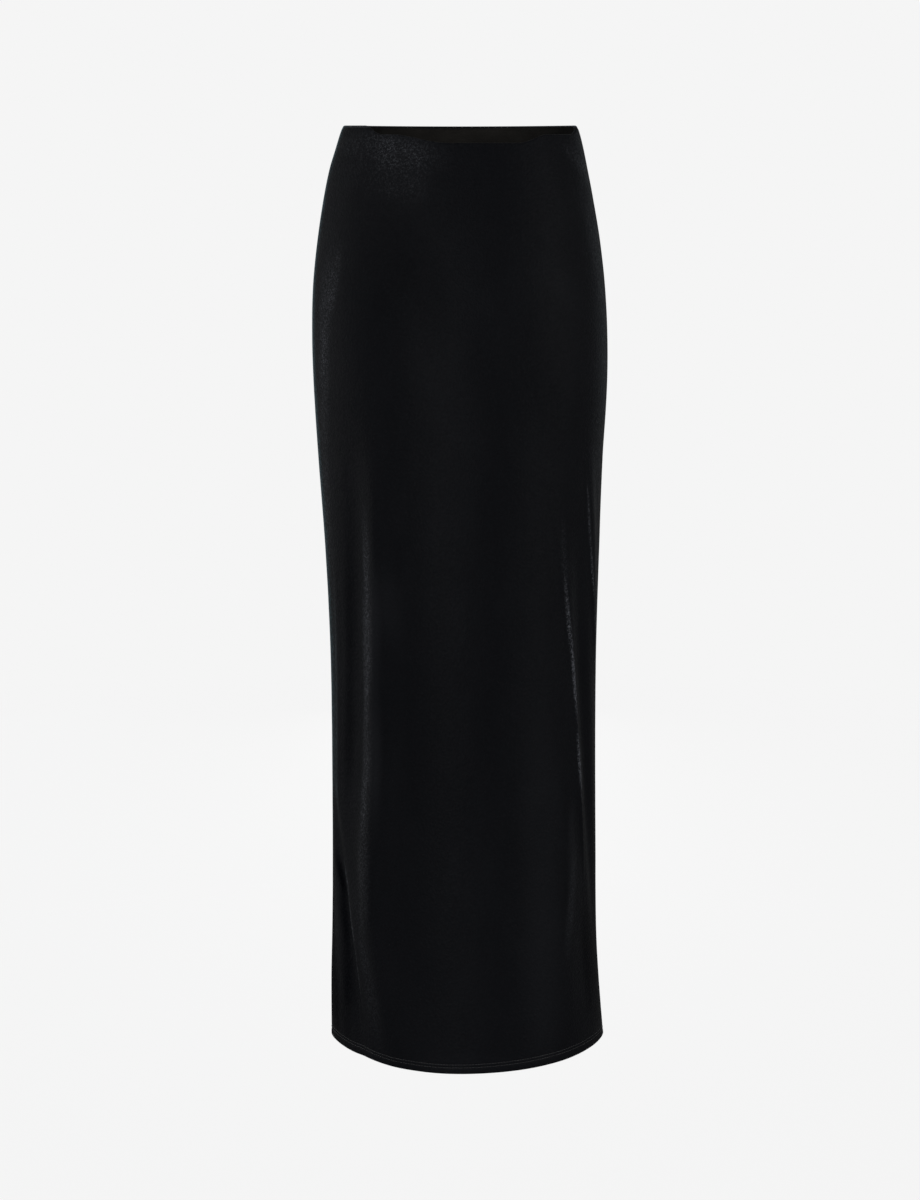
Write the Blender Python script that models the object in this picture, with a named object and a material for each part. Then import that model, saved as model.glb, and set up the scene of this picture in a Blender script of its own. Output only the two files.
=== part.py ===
"""Ankle-length column skirt in stretch velvet, hollow and open at both ends, in its worn shape.

Metres, +Z up. The front faces -Y and the wearer's left is +X. The origin is the middle of the
waist opening, level with its edge at the side seams, and the skirt hangs down from it.

A maker cuts a front panel and a back panel, sews them together down both sides, turns the hem up
inside and sews a loop of elastic inside the waist. Each of the three is one closed solid here.

A place on the skirt is a drop below the waist and a turn, in degrees, from the centre front:
-90 is the seam on the wearer's right, 90 the seam on the left and 180 the centre back.
"""

from collections import namedtuple
from math import copysign, cos, exp, hypot, radians, sin

import bmesh
import bpy

LENGTH = 0.998
CLOTH = 0.0015
ELASTIC_THICKNESS = 0.0012
ELASTIC_WIDTH = 0.040
HEM_TURN_UP = 0.015
GAP = 0.0003

# The waist edge dips at the front: a shelf from each side, and a lower middle.
FRONT_SHELF_DIP = 0.009
FRONT_MIDDLE_DIP = 0.0085
BACK_MIDDLE_DIP = 0.001
# The turns between which the shelf, and then the middle, dips on the wearer's right and left.
RIGHT_SHELF_TURNS = (54, 40)
LEFT_SHELF_TURNS = (88, 66)
RIGHT_MIDDLE_TURNS = (34, 5)
LEFT_MIDDLE_TURNS = (46, 28)

SEAM_TURN = 90
FRONT_COLUMNS = 48
BACK_COLUMNS = 40
BODY_ROWS = 26
# Above 1, this crowds the rows towards the waist, where the hip curve is.
ROW_CROWDING = 1.3

# The higher this is, the closer the sway keeps to the middle of the front.
SWAY_POWER = 4
# Turn each side of a point over which the way out of the cloth is measured.
NORMAL_SPAN = 2.0
# Folds are placed by turn, and this radius makes a turn a distance along the cloth.
FOLD_RADIUS = 0.140
# Share of a fold's length over which it fades in, and out again.
FOLD_FADE = 0.38

# One row for each level of the body form. left and right are the half widths towards -X and +X, and
# front and back the depths. A pinch is 1 for an ellipse and more where that side's seam draws it
# sharp. sway is how far the middle of the front hangs towards +X.
Section = namedtuple("Section", "drop left right front back left_pinch right_pinch sway")
SECTIONS = [
    Section(0.000, 0.1222, 0.1221, 0.084, 0.086, 1.10, 1.10, 0.0000),
    Section(0.006, 0.1251, 0.1252, 0.085, 0.088, 1.10, 1.10, 0.0000),
    Section(0.025, 0.1312, 0.1302, 0.089, 0.094, 1.08, 1.08, 0.0000),
    Section(0.045, 0.1374, 0.1344, 0.093, 0.100, 1.06, 1.06, 0.0000),
    Section(0.075, 0.1438, 0.1404, 0.099, 0.109, 1.04, 1.04, 0.0000),
    Section(0.120, 0.1509, 0.1482, 0.107, 0.122, 1.02, 1.02, 0.0000),
    Section(0.170, 0.1561, 0.1541, 0.114, 0.132, 1.00, 1.00, 0.0000),
    Section(0.225, 0.1574, 0.1571, 0.119, 0.137, 1.00, 1.00, 0.0000),
    Section(0.280, 0.1559, 0.1570, 0.122, 0.136, 1.03, 1.03, 0.0000),
    Section(0.350, 0.1520, 0.1534, 0.124, 0.129, 1.09, 1.08, 0.0000),
    Section(0.450, 0.1453, 0.1505, 0.125, 0.119, 1.17, 1.15, 0.0000),
    Section(0.550, 0.1411, 0.1482, 0.125, 0.113, 1.23, 1.20, 0.0000),
    Section(0.640, 0.1399, 0.1480, 0.125, 0.110, 1.27, 1.22, 0.0005),
    Section(0.780, 0.1405, 0.1496, 0.126, 0.109, 1.31, 1.25, 0.0020),
    Section(0.870, 0.1418, 0.1509, 0.128, 0.110, 1.34, 1.26, 0.0035),
    Section(0.930, 0.1433, 0.1542, 0.129, 0.111, 1.36, 1.27, 0.0045),
    Section(1.000, 0.1434, 0.1600, 0.131, 0.113, 1.37, 1.28, 0.0050),
]

# One row for each large fold: it runs from one drop and turn to another, and fades at both ends.
# height is out of the cloth, below 0 for a trough.
Fold = namedtuple("Fold", "top_drop low_drop top_turn low_turn half_width height")
FOLDS = [
    # Wearer's right, a long ridge from the hip to the shin and the trough beside it.
    Fold(0.26, 0.96, -35.5, -44.5, 0.016, 0.0044),
    Fold(0.26, 0.86, -45.5, -59.5, 0.019, -0.0064),
    # Wearer's right shin, a ridge and a trough that both slant forwards on their way to the hem.
    Fold(0.68, 1.04, -53, -28, 0.016, 0.0036),
    Fold(0.68, 1.04, -81, -43, 0.013, -0.0048),
    # Wearer's left, a ridge past the knee, its trough, the broad fold below and a short one by the seam.
    Fold(0.34, 0.82, 41, 66, 0.011, 0.0030),
    Fold(0.36, 0.92, 53, 80, 0.012, -0.0046),
    Fold(0.62, 1.03, 50, 46, 0.020, 0.0032),
    Fold(0.30, 0.62, 60, 82, 0.010, 0.0024),
    # Back, where the cloth falls from the seat.
    Fold(0.32, 0.96, 128, 134, 0.016, 0.0046),
    Fold(0.36, 0.88, 112, 118, 0.014, -0.0050),
    Fold(0.30, 0.90, 226, 232, 0.016, 0.0044),
    Fold(0.46, 1.02, 246, 238, 0.014, -0.0048),
    Fold(0.64, 1.05, 154, 144, 0.018, 0.0036),
    Fold(0.58, 1.04, 196, 206, 0.018, -0.0034),
]

# One row for each rung across the wall near its two edges, from the outer face to the inner one.
# The depths are along the cloth from the edge, and the insets are into the wall from the outer face.
Rung = namedtuple("Rung", "outer_depth outer_inset inner_depth inner_inset")
LIP_INSET = CLOTH + GAP + ELASTIC_THICKNESS + GAP
WAIST_RUNGS = [
    Rung(0.0000, 0.0011, 0.0000, 0.0023),
    Rung(0.0005, 0.0003, 0.0006, LIP_INSET),
    Rung(0.0016, 0.0000, 0.0013, LIP_INSET),
    Rung(0.0060, 0.0000, 0.0015, CLOTH),
    Rung(0.0090, 0.0000, 0.0070, CLOTH),
    Rung(0.0150, 0.0000, 0.0140, CLOTH),
    Rung(0.0260, 0.0000, 0.0260, CLOTH),
]
# The rungs past these lie beside the elastic, which has rows of its own at the same depths.
LIP_RUNGS = 4
HEM_RUNGS = [
    Rung(HEM_TURN_UP + 0.0008, 0.0, HEM_TURN_UP + 0.0008, CLOTH),
    Rung(HEM_TURN_UP, 0.0, HEM_TURN_UP, 2 * CLOTH),
    Rung(0.0011, 0.0, 0.0009, 2 * CLOTH),
    Rung(0.0000, 0.0010, 0.0000, 0.0021),
]
ELASTIC_TOP_DEPTH = WAIST_RUNGS[LIP_RUNGS - 1].inner_depth + GAP

VELVET_COLOUR = (0.0090, 0.0090, 0.0105, 1.0)
VELVET_ROUGHNESS = 0.85
ELASTIC_COLOUR = (0.0170, 0.0150, 0.0135, 1.0)
ELASTIC_ROUGHNESS = 0.70


def smooth_step(share):
    """0 at a share of 0 or less, 1 at 1 or more, and a smooth rise between."""
    share = min(max(share, 0.0), 1.0)
    return share * share * (3 - 2 * share)


def between(value, start, end):
    return smooth_step((value - start) / (end - start))


def slope(index, column):
    """How fast a column of the section table changes with the drop at one of its rows."""
    above = SECTIONS[max(index - 1, 0)]
    below = SECTIONS[min(index + 1, len(SECTIONS) - 1)]
    return (getattr(below, column) - getattr(above, column)) / (below.drop - above.drop)


def section_at(drop):
    """The section table, read as smooth curves at any drop."""
    drop = min(max(drop, SECTIONS[0].drop), SECTIONS[-1].drop)
    index = max(i for i, row in enumerate(SECTIONS[:-1]) if row.drop <= drop)
    above, below = SECTIONS[index], SECTIONS[index + 1]
    span = below.drop - above.drop
    t = (drop - above.drop) / span
    values = {"drop": drop}
    for column in Section._fields[1:]:
        a, b = getattr(above, column), getattr(below, column)
        leaving, arriving = slope(index, column) * span, slope(index + 1, column) * span
        values[column] = (
            a * (1 + 2 * t) * (1 - t) ** 2
            + leaving * t * (1 - t) ** 2
            + b * t * t * (3 - 2 * t)
            - arriving * t * t * (1 - t)
        )
    return Section(**values)


def outline(turn, section):
    """The body form at a turn, without folds, as x and y."""
    across, ahead = sin(radians(turn)), cos(radians(turn))
    half_width, pinch = section.left, section.left_pinch
    if across > 0:
        half_width, pinch = section.right, section.right_pinch
    depth = section.front if ahead > 0 else section.back
    x = half_width * across + section.sway * max(ahead, 0.0) ** SWAY_POWER
    return x, -depth * copysign(abs(ahead) ** pinch, ahead)


def way_out(turn, section):
    """The level direction straight out of the cloth. At a seam it lies along X, in the seam's plane."""
    if abs(cos(radians(turn))) < 1e-9:
        return copysign(1.0, sin(radians(turn))), 0.0
    x0, y0 = outline(turn - NORMAL_SPAN, section)
    x1, y1 = outline(turn + NORMAL_SPAN, section)
    length = hypot(x1 - x0, y1 - y0)
    return (y1 - y0) / length, (x0 - x1) / length


def fold_height(turn, drop):
    """How far the folds lift the cloth off the body form."""
    total = 0.0
    for fold in FOLDS:
        share = (drop - fold.top_drop) / (fold.low_drop - fold.top_drop)
        middle = fold.top_turn + (fold.low_turn - fold.top_turn) * share
        away = (turn - middle + 180) % 360 - 180
        distance = radians(away) * FOLD_RADIUS
        fade = smooth_step(share / FOLD_FADE) * smooth_step((1 - share) / FOLD_FADE)
        total += fold.height * fade * exp(-((distance / fold.half_width) ** 2))
    return total


def place(turn, drop, inset=0.0, seam_gap=0.0):
    """A point of the wall, that far in from its outer face. seam_gap moves it off the seam's plane."""
    section = section_at(drop)
    x, y = outline(turn, section)
    out_x, out_y = way_out(turn, section)
    out = fold_height(turn, drop) - inset
    return x + out_x * out, y + out_y * out + seam_gap, -drop


def waist_edge(turn):
    """The drop of the waist's top edge."""
    away = abs((turn + 180) % 360 - 180)
    if away > SEAM_TURN:
        return BACK_MIDDLE_DIP * cos(radians(away)) ** 2
    shelf_turns, middle_turns = RIGHT_SHELF_TURNS, RIGHT_MIDDLE_TURNS
    if sin(radians(turn)) > 0:
        shelf_turns, middle_turns = LEFT_SHELF_TURNS, LEFT_MIDDLE_TURNS
    return FRONT_SHELF_DIP * between(away, *shelf_turns) + FRONT_MIDDLE_DIP * between(away, *middle_turns)


def wall_rungs(turn):
    """The wall at a turn, from the waist down, as (outer drop, outer inset, inner drop, inner inset)."""
    top = waist_edge(turn)
    rungs = [(top + r.outer_depth, r.outer_inset, top + r.inner_depth, r.inner_inset) for r in WAIST_RUNGS]
    start = top + WAIST_RUNGS[-1].outer_depth
    end = LENGTH - HEM_RUNGS[0].outer_depth
    for row in range(1, BODY_ROWS):
        drop = start + (end - start) * (row / BODY_ROWS) ** ROW_CROWDING
        rungs.append((drop, 0.0, drop, CLOTH))
    for r in HEM_RUNGS:
        rungs.append((LENGTH - r.outer_depth, r.outer_inset, LENGTH - r.inner_depth, r.inner_inset))
    return rungs


def panel_rails(turns):
    """The outer and inner points of an open panel, a list for each turn, clear of its two seams."""
    middle_side = copysign(1.0, cos(radians(turns[len(turns) // 2])))
    outer, inner = [], []
    for column, turn in enumerate(turns):
        seam_gap = -middle_side * GAP / 2 if column in (0, len(turns) - 1) else 0.0
        rungs = wall_rungs(turn)
        outer.append([place(turn, drop, inset, seam_gap) for drop, inset, _, _ in rungs])
        inner.append([place(turn, drop, inset, seam_gap) for _, _, drop, inset in rungs])
    return outer, inner


def elastic_rails(turns):
    """The outer and inner points of the waist elastic, which lies inside the cloth under its lip."""
    outer, inner = [], []
    depths = [ELASTIC_TOP_DEPTH]
    depths += [rung.inner_depth for rung in WAIST_RUNGS[LIP_RUNGS:]]
    depths.append(ELASTIC_TOP_DEPTH + ELASTIC_WIDTH)
    for turn in turns:
        drops = [waist_edge(turn) + depth for depth in depths]
        outer.append([place(turn, drop, CLOTH + GAP) for drop in drops])
        inner.append([place(turn, drop, CLOTH + GAP + ELASTIC_THICKNESS) for drop in drops])
    return outer, inner


def loft_wall(name, outer, inner, closed, material, collection):
    """A closed solid between two grids of points, open-ended at the seams or closed round a loop."""
    mesh = bmesh.new()
    outer = [[mesh.verts.new(point) for point in rail] for rail in outer]
    inner = [[mesh.verts.new(point) for point in rail] for rail in inner]
    columns, rows = len(outer), len(outer[0])
    for a in range(columns if closed else columns - 1):
        b = (a + 1) % columns
        for row in range(rows - 1):
            mesh.faces.new((outer[a][row], outer[a][row + 1], outer[b][row + 1], outer[b][row]))
            mesh.faces.new((inner[b][row], inner[b][row + 1], inner[a][row + 1], inner[a][row]))
        mesh.faces.new((inner[a][0], outer[a][0], outer[b][0], inner[b][0]))
        mesh.faces.new((outer[a][-1], inner[a][-1], inner[b][-1], outer[b][-1]))
    if not closed:
        for row in range(rows - 1):
            mesh.faces.new((inner[0][row], inner[0][row + 1], outer[0][row + 1], outer[0][row]))
            mesh.faces.new((outer[-1][row], outer[-1][row + 1], inner[-1][row + 1], inner[-1][row]))
    bmesh.ops.recalc_face_normals(mesh, faces=mesh.faces)
    data = bpy.data.meshes.new(name)
    mesh.to_mesh(data)
    mesh.free()
    data.shade_smooth()
    data.set_sharp_from_angle(angle=radians(40))
    data.materials.append(material)
    solid = bpy.data.objects.new(name, data)
    collection.objects.link(solid)
    return solid


def cloth_material(name, colour, roughness, sheen):
    material = bpy.data.materials.new(name)
    material.use_nodes = True
    shader = material.node_tree.nodes["Principled BSDF"]
    shader.inputs["Base Color"].default_value = colour
    shader.inputs["Roughness"].default_value = roughness
    shader.inputs["Metallic"].default_value = 0.0
    shader.inputs["Sheen Weight"].default_value = sheen
    return material


def spread(start, end, columns):
    """Even turns from one to the other, both included."""
    return [start + (end - start) * column / columns for column in range(columns + 1)]


def main():
    for old in list(bpy.data.objects):
        bpy.data.objects.remove(old)
    collection = bpy.data.collections.new("column_skirt")
    bpy.context.scene.collection.children.link(collection)
    velvet = cloth_material("velvet", VELVET_COLOUR, VELVET_ROUGHNESS, sheen=0.4)
    elastic = cloth_material("elastic", ELASTIC_COLOUR, ELASTIC_ROUGHNESS, sheen=0.0)

    front_turns = spread(-SEAM_TURN, SEAM_TURN, FRONT_COLUMNS)
    back_turns = spread(SEAM_TURN, 360 - SEAM_TURN, BACK_COLUMNS)
    loft_wall("front_panel", *panel_rails(front_turns), False, velvet, collection)
    loft_wall("back_panel", *panel_rails(back_turns), False, velvet, collection)
    # The loop follows the panels' own columns, so its facets lie parallel to theirs.
    loop_turns = front_turns[:-1] + back_turns[:-1]
    loft_wall("waist_elastic", *elastic_rails(loop_turns), True, elastic, collection)


main()
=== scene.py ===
"""Looks of a black stretch-velvet column skirt, in its worn shape, built over its solids.

Metres, in the solids' frame: +Z up, the front faces -Y, the wearer's left is +X, and the origin is the
middle of the waist opening. A place on the skirt is a drop below the waist and a turn, in degrees, from
the centre front: -90 is the seam on the wearer's right, 90 the seam on the left, 180 the centre back.
"""

from collections import namedtuple
from math import cos, pi, radians, sin

import bpy
import numpy as np
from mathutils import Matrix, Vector, noise


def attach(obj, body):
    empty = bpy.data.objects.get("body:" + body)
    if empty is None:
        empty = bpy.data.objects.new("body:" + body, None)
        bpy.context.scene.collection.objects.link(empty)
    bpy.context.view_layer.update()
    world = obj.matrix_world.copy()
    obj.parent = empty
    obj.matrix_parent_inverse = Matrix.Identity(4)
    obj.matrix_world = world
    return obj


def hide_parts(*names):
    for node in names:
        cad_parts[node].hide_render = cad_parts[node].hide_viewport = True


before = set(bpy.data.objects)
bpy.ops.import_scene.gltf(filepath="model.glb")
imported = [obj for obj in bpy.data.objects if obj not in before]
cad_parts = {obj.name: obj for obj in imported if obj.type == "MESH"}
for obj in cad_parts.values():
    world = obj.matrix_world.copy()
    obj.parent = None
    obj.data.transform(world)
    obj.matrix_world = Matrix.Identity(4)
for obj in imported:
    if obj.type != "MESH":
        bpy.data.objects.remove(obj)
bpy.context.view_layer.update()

# ---------------------------------------------------------------- sizes of the cloth

LENGTH = 0.998
CLOTH = 0.0015
ELASTIC_THICKNESS = 0.0012
ELASTIC_WIDTH = 0.040
HEM_TURN_UP = 0.015
GAP = 0.0003

# The waist edge dips at the front: a shelf from each side, and a lower middle.
FRONT_SHELF_DIP = 0.009
FRONT_MIDDLE_DIP = 0.0085
BACK_MIDDLE_DIP = 0.001
RIGHT_SHELF_TURNS = (54, 40)
LEFT_SHELF_TURNS = (88, 66)
RIGHT_MIDDLE_TURNS = (34, 5)
LEFT_MIDDLE_TURNS = (46, 28)

SEAM_TURN = 90
SWAY_POWER = 4
NORMAL_SPAN = 2.0
FOLD_RADIUS = 0.140
FOLD_FADE = 0.38

# The body form, as the solids have it.
Section = namedtuple("Section", "drop left right front back left_pinch right_pinch sway")
SECTIONS = [
    Section(0.000, 0.1222, 0.1221, 0.084, 0.086, 1.10, 1.10, 0.0000),
    Section(0.006, 0.1251, 0.1252, 0.085, 0.088, 1.10, 1.10, 0.0000),
    Section(0.025, 0.1312, 0.1302, 0.089, 0.094, 1.08, 1.08, 0.0000),
    Section(0.045, 0.1374, 0.1344, 0.093, 0.100, 1.06, 1.06, 0.0000),
    Section(0.075, 0.1438, 0.1404, 0.099, 0.109, 1.04, 1.04, 0.0000),
    Section(0.120, 0.1509, 0.1482, 0.107, 0.122, 1.02, 1.02, 0.0000),
    Section(0.170, 0.1561, 0.1541, 0.114, 0.132, 1.00, 1.00, 0.0000),
    Section(0.225, 0.1574, 0.1571, 0.119, 0.137, 1.00, 1.00, 0.0000),
    Section(0.280, 0.1559, 0.1570, 0.122, 0.136, 1.03, 1.03, 0.0000),
    Section(0.350, 0.1520, 0.1534, 0.124, 0.129, 1.09, 1.08, 0.0000),
    Section(0.450, 0.1453, 0.1505, 0.125, 0.119, 1.17, 1.15, 0.0000),
    Section(0.550, 0.1411, 0.1482, 0.125, 0.113, 1.23, 1.20, 0.0000),
    Section(0.640, 0.1399, 0.1480, 0.125, 0.110, 1.27, 1.22, 0.0005),
    Section(0.780, 0.1405, 0.1496, 0.126, 0.109, 1.31, 1.25, 0.0020),
    Section(0.870, 0.1418, 0.1509, 0.128, 0.110, 1.34, 1.26, 0.0035),
    Section(0.930, 0.1433, 0.1542, 0.129, 0.111, 1.36, 1.27, 0.0045),
    Section(1.000, 0.1434, 0.1600, 0.131, 0.113, 1.37, 1.28, 0.0050),
]

# The large folds, as the solids have them. height is out of the cloth, below 0 for a trough.
Fold = namedtuple("Fold", "top_drop low_drop top_turn low_turn half_width height")
FOLDS = [
    Fold(0.26, 0.96, -35.5, -44.5, 0.016, 0.0044),
    Fold(0.26, 0.86, -45.5, -59.5, 0.019, -0.0064),
    Fold(0.68, 1.04, -53, -28, 0.016, 0.0036),
    Fold(0.68, 1.04, -81, -43, 0.013, -0.0048),
    Fold(0.34, 0.82, 41, 66, 0.011, 0.0030),
    Fold(0.36, 0.92, 53, 80, 0.012, -0.0046),
    Fold(0.62, 1.03, 50, 46, 0.020, 0.0032),
    Fold(0.30, 0.62, 60, 82, 0.010, 0.0024),
    Fold(0.32, 0.96, 128, 134, 0.016, 0.0046),
    Fold(0.36, 0.88, 112, 118, 0.014, -0.0050),
    Fold(0.30, 0.90, 226, 232, 0.016, 0.0044),
    Fold(0.46, 1.02, 246, 238, 0.014, -0.0048),
    Fold(0.64, 1.05, 154, 144, 0.018, 0.0036),
    Fold(0.58, 1.04, 196, 206, 0.018, -0.0034),
]

# The finer creases. bow is how many degrees the middle of a crease stands off the straight line
# between its ends. near and far are its half widths towards lower and higher turns.
Crease = namedtuple("Crease", "top_drop low_drop top_turn low_turn bow near far height")
CREASES = [
    # Wearer's right: the crest of the long ridge, the thin strip by the seam and the valley at the shin.
    Crease(0.34, 0.90, -36.8, -43.7, 0.0, 0.0110, 0.0065, 0.0011),
    Crease(0.40, 0.80, -66.0, -72.5, 0.0, 0.0060, 0.0070, 0.0008),
    Crease(0.75, 1.03, -80.0, -47.0, 6.5, 0.0100, 0.0028, -0.0020),
    # Wearer's left: the crisp crease past the knee, which steps sideways halfway, and the thin one above.
    Crease(0.36, 0.60, 41.0, 52.0, 0.0, 0.0034, 0.0018, 0.0008),
    Crease(0.47, 0.70, 47.5, 59.5, 0.0, 0.0032, 0.0015, 0.0014),
    Crease(0.64, 0.82, 55.8, 65.0, 0.0, 0.0030, 0.0015, 0.0015),
    Crease(0.33, 0.60, 57.5, 82.0, -1.5, 0.0026, 0.0016, 0.0011),
]

# Painted sheen and highlights: ovals where flecks of the velvet's light shade are painted in, standing for
# light caught on ridges, creases and the hips. Each is an oval from one place to another, its half width,
# and how much of the light shade shows.
Oval = namedtuple("Oval", "top_turn top_drop low_turn low_drop half_width share")
PAINTED_SHEEN_OVALS = [
    # High on the wearer's right hip, along the waist, and down the side.
    Oval(-70, 0.022, -54, 0.022, 0.014, 0.16),
    Oval(-50, 0.020, -32, 0.026, 0.026, 0.34),
    Oval(-36, 0.022, -12, 0.032, 0.023, 0.34),
    Oval(-50, 0.048, -18, 0.062, 0.027, 0.21),
    Oval(-56, 0.125, -59, 0.190, 0.010, 0.45),
    Oval(-62, 0.130, -67, 0.260, 0.017, 0.50),
    Oval(-64, 0.220, -70, 0.350, 0.015, 0.50),
    Oval(-69, 0.330, -76, 0.470, 0.013, 0.42),
    # The long ridge beside the wearer's right thigh, and the thin strip by the seam.
    Oval(-42.5, 0.400, -43.5, 0.500, 0.010, 1.05),
    Oval(-43.5, 0.460, -45.0, 0.620, 0.015, 1.05),
    Oval(-45.0, 0.580, -46.5, 0.740, 0.015, 0.80),
    Oval(-46.5, 0.700, -46.5, 0.860, 0.015, 0.45),
    Oval(-68, 0.430, -72, 0.620, 0.008, 0.22),
    # The wearer's right shin, from the valley's crisp edge round to the front.
    Oval(-67.5, 0.790, -60.5, 0.826, 0.0045, 1.60),
    Oval(-62, 0.822, -55, 0.880, 0.0045, 1.20),
    Oval(-55.5, 0.875, -50, 0.945, 0.0045, 0.70),
    Oval(-55, 0.810, -44, 0.900, 0.014, 0.20),
    Oval(-47, 0.880, -39, 0.970, 0.016, 0.20),
    # The wearer's left: by the waist, the crisp crease, the thin one above and the broad fold below.
    Oval(58, 0.022, 80, 0.050, 0.013, 0.34),
    Oval(66, 0.060, 74, 0.200, 0.012, 0.20),
    Oval(44.5, 0.400, 47.5, 0.490, 0.006, 0.36),
    Oval(46, 0.460, 51.5, 0.560, 0.0038, 1.50),
    Oval(50.8, 0.527, 56.2, 0.628, 0.0042, 3.60),
    Oval(56.2, 0.636, 60.8, 0.722, 0.0042, 3.20),
    Oval(60.8, 0.370, 65.5, 0.440, 0.0026, 1.20),
    Oval(65.5, 0.435, 71.5, 0.500, 0.0026, 1.50),
    Oval(72, 0.505, 79, 0.560, 0.0026, 1.20),
    Oval(56, 0.750, 48, 0.890, 0.010, 0.20),
    # The wearer's back.
    Oval(128, 0.060, 123, 0.180, 0.018, 0.34),
    Oval(123, 0.170, 118, 0.300, 0.018, 0.34),
    Oval(212, 0.030, 168, 0.060, 0.026, 0.30),
    Oval(236, 0.060, 238, 0.200, 0.016, 0.34),
    Oval(238, 0.190, 240, 0.330, 0.016, 0.34),
    Oval(130, 0.420, 134, 0.820, 0.0080, 0.36),
    Oval(228, 0.400, 232, 0.780, 0.0080, 0.36),
    Oval(152, 0.700, 145, 0.960, 0.0090, 0.22),
]

# Smooth changes of tone, as ovals too. Above 0 is lighter: mostly painted light, with a few faint clouds of
# tone. Below 0 is darker: painted shade.
PAINTED_LIGHT_SHADE_AND_TONE = [
    # Painted light beside the long ridge, on the broad fold and on the front above the hem, and faint clouds
    # of tone on the front.
    Oval(-38.0, 0.440, -38.5, 0.590, 0.011, 0.12),
    Oval(-38.5, 0.570, -39.5, 0.740, 0.011, 0.14),
    Oval(-32, 0.470, -30, 0.520, 0.022, 0.050),
    Oval(-14, 0.235, 3, 0.315, 0.034, 0.028),
    Oval(42, 0.150, 50, 0.180, 0.022, 0.030),
    Oval(53, 0.710, 51, 0.800, 0.009, 0.090),
    Oval(56, 0.750, 48, 0.890, 0.010, 0.080),
    Oval(-2, 0.780, 2, 1.040, 0.120, 0.030),
    Oval(-18, 0.985, 18, 0.990, 0.022, 0.035),
    Oval(36, 0.620, 35, 0.820, 0.036, 0.055),
    Oval(35, 0.780, 36, 0.990, 0.036, 0.075),
    # Painted shade on the thighs, in the troughs and at the low corners.
    Oval(-27, 0.090, -29, 0.270, 0.042, -0.020),
    Oval(-20, 0.120, -6, 0.190, 0.030, -0.016),
    Oval(33, 0.200, 35, 0.340, 0.032, -0.018),
    Oval(-56, 0.430, -59.5, 0.600, 0.009, -0.030),
    Oval(-59, 0.540, -63, 0.730, 0.010, -0.040),
    Oval(-76, 0.785, -67.5, 0.826, 0.008, -0.090),
    Oval(-70, 0.820, -63, 0.880, 0.010, -0.070),
    Oval(-65, 0.870, -60, 0.945, 0.012, -0.050),
    Oval(-62, 0.920, -60, 0.999, 0.014, -0.050),
    Oval(-80, 0.880, -72, 0.999, 0.026, -0.095),
    Oval(-84, 0.780, -84, 0.990, 0.014, -0.095),
    Oval(70, 0.800, 77, 0.996, 0.030, -0.060),
    Oval(62, 0.830, 66, 0.985, 0.012, -0.030),
]

# Slow unevenness of the cloth: each row is a patch size, how many times taller than wide, and a height.
Unevenness = namedtuple("Unevenness", "size stretch height")
UNEVENNESS = [
    Unevenness(0.110, 3.0, 0.0004),
    Unevenness(0.034, 4.5, 0.00020),
    Unevenness(0.012, 2.0, 0.00007),
]

# ---------------------------------------------------------------- sizes of the making-up

# The velvet rolls over the top of the elastic.
LIP_INSET = CLOTH + GAP + ELASTIC_THICKNESS + GAP
LIP_ROLL = 0.0012
LIP_DEPTH = 0.0015
LIP_POINTS = 9
# Drops below the waist edge of the rows between the rolled lip and the wall, and of the wall's first row.
LIP_ROWS = (0.0019, 0.0028, 0.0040)
WALL_START = 0.0056

ELASTIC_TOP_DEPTH = LIP_DEPTH + GAP
ELASTIC_EDGE = 0.0004
ELASTIC_TURN_STEP = 1.2
ELASTIC_OUTER_ROWS = 10
ELASTIC_INNER_ROWS = 100
RIB_PITCH = 0.0016
RIB_HEIGHT = 0.00014

SEAM_GROOVE = 0.0009
SEAM_HALF_WIDTH = 0.0011
ALLOWANCE_WIDTH = 0.0085
ALLOWANCE_THICKNESS = 0.0022
ALLOWANCE_ROWS = 240
# How far past the seam an allowance starts, and how far it stays clear of the elastic and the hem edge.
SEAM_LAP = 0.0012
BELOW_ELASTIC = 0.0008
ABOVE_HEM_EDGE = 0.0014
# Over the turned-up hem an allowance lies further in. How far above the turned-up cloth it starts to step
# in, over what drop, and the room that it then has.
HEM_STEP_START = 0.0040
HEM_STEP_SPAN = 0.0030
HEM_STEP_ROOM = 0.0004
OVERLOCK_PITCH = 0.0026
OVERLOCK_REACH = 0.0022
OVERLOCK_SWING = 0.0025
NEEDLE_REACH = 0.0024
# The bar of zigzag that tacks the elastic to a seam: its drop below the waist, its pitch and its swing.
TACK_DROP = 0.010
TACK_ZIGZAGS = 15
TACK_PITCH = 0.0011
TACK_SWING = 0.9

HEM_ROLL = 0.0016
HEM_ROLL_POINTS = 11
TURN_UP_ROWS = 16
TURN_UP_MARGIN = 0.0008
# The raw edge of the turned-up cloth: drops from its top, and insets, of its points.
RAW_EDGE_DROPS = (0.0003, 0.0, 0.0)
RAW_EDGE_INSETS = (0.0028, 0.0024, 0.0016)
RAW_EDGE_STEP = 0.0004
# How much of the stitching's relief shows on the inside.
INSIDE_RELIEF = 0.6
# Heights of the twin rows of stitching above the hem edge.
STITCH_ROWS = (0.0080, 0.0112)
# How far both rows wander up and down round the hem.
STITCH_WANDER = 0.0009
WANDER_WAVES = 3
WANDER_START = 15
STITCH_PITCH = 0.0031
STITCH_HOLE = 0.00035
STITCH_POINTS = 6
# How unevenly the stitches fall: along a row, in length, in slant and in how far they stand up.
STITCH_JITTER = 0.05
STITCH_LENGTHS = (0.92, 1.0)
STITCH_SLANT = 0.00008
STITCH_LIFTS = (0.85, 1.15)
THREAD_RADIUS = 0.00019
GROOVE_DEPTH = 0.00042
GROOVE_HALF_WIDTH = 0.00080
# How much the pull of the stitching varies, and its two waves round the hem.
PULL_SWING = 0.35
PULL_WAVES = (2.9, 0.83)
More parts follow.
